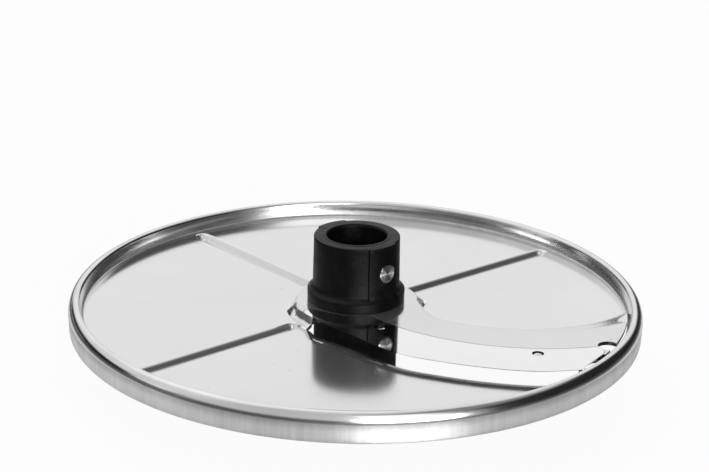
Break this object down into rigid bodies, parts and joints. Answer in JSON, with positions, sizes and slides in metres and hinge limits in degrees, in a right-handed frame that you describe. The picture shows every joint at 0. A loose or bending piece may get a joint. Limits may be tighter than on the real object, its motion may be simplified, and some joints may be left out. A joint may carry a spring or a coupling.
{
  "type": "food processor slicing disc",
  "caption": "Round steel slicing disc with a rolled rim, a sickle blade on a raised seat over a slicing mouth, and a black moulded hub with a cross drive pin.",
  "frame": {"origin": "on the hub's axis at the hub's lower end face, which the disc stands on", "axes": "+Z along the hub's axis, up through the plate to the hub's top; +Y away from the blade's side"},
  "size_m": [0.19, 0.19, 0.0495],
  "materials": {
    "rolled_steel": "polished bead, fine vertical streaks on the skirt",
    "pressed_steel": "fine satin",
    "blade_steel": "mirror polished",
    "pin_steel": "turned",
    "black_nylon": "slightly rough moulded, soft gloss"
  },
  "bodies": {
    "root": {"rim_ring": "rolled_steel", "disc_plate": "pressed_steel", "slicing_blade": "blade_steel", "blade_rivet_1": "pin_steel", "blade_rivet_2": "pin_steel", "hub_body": "black_nylon", "hub_nut": "black_nylon", "clamp_washer": "pressed_steel", "drive_pin": "pin_steel"}
  },
  "joints": []
}
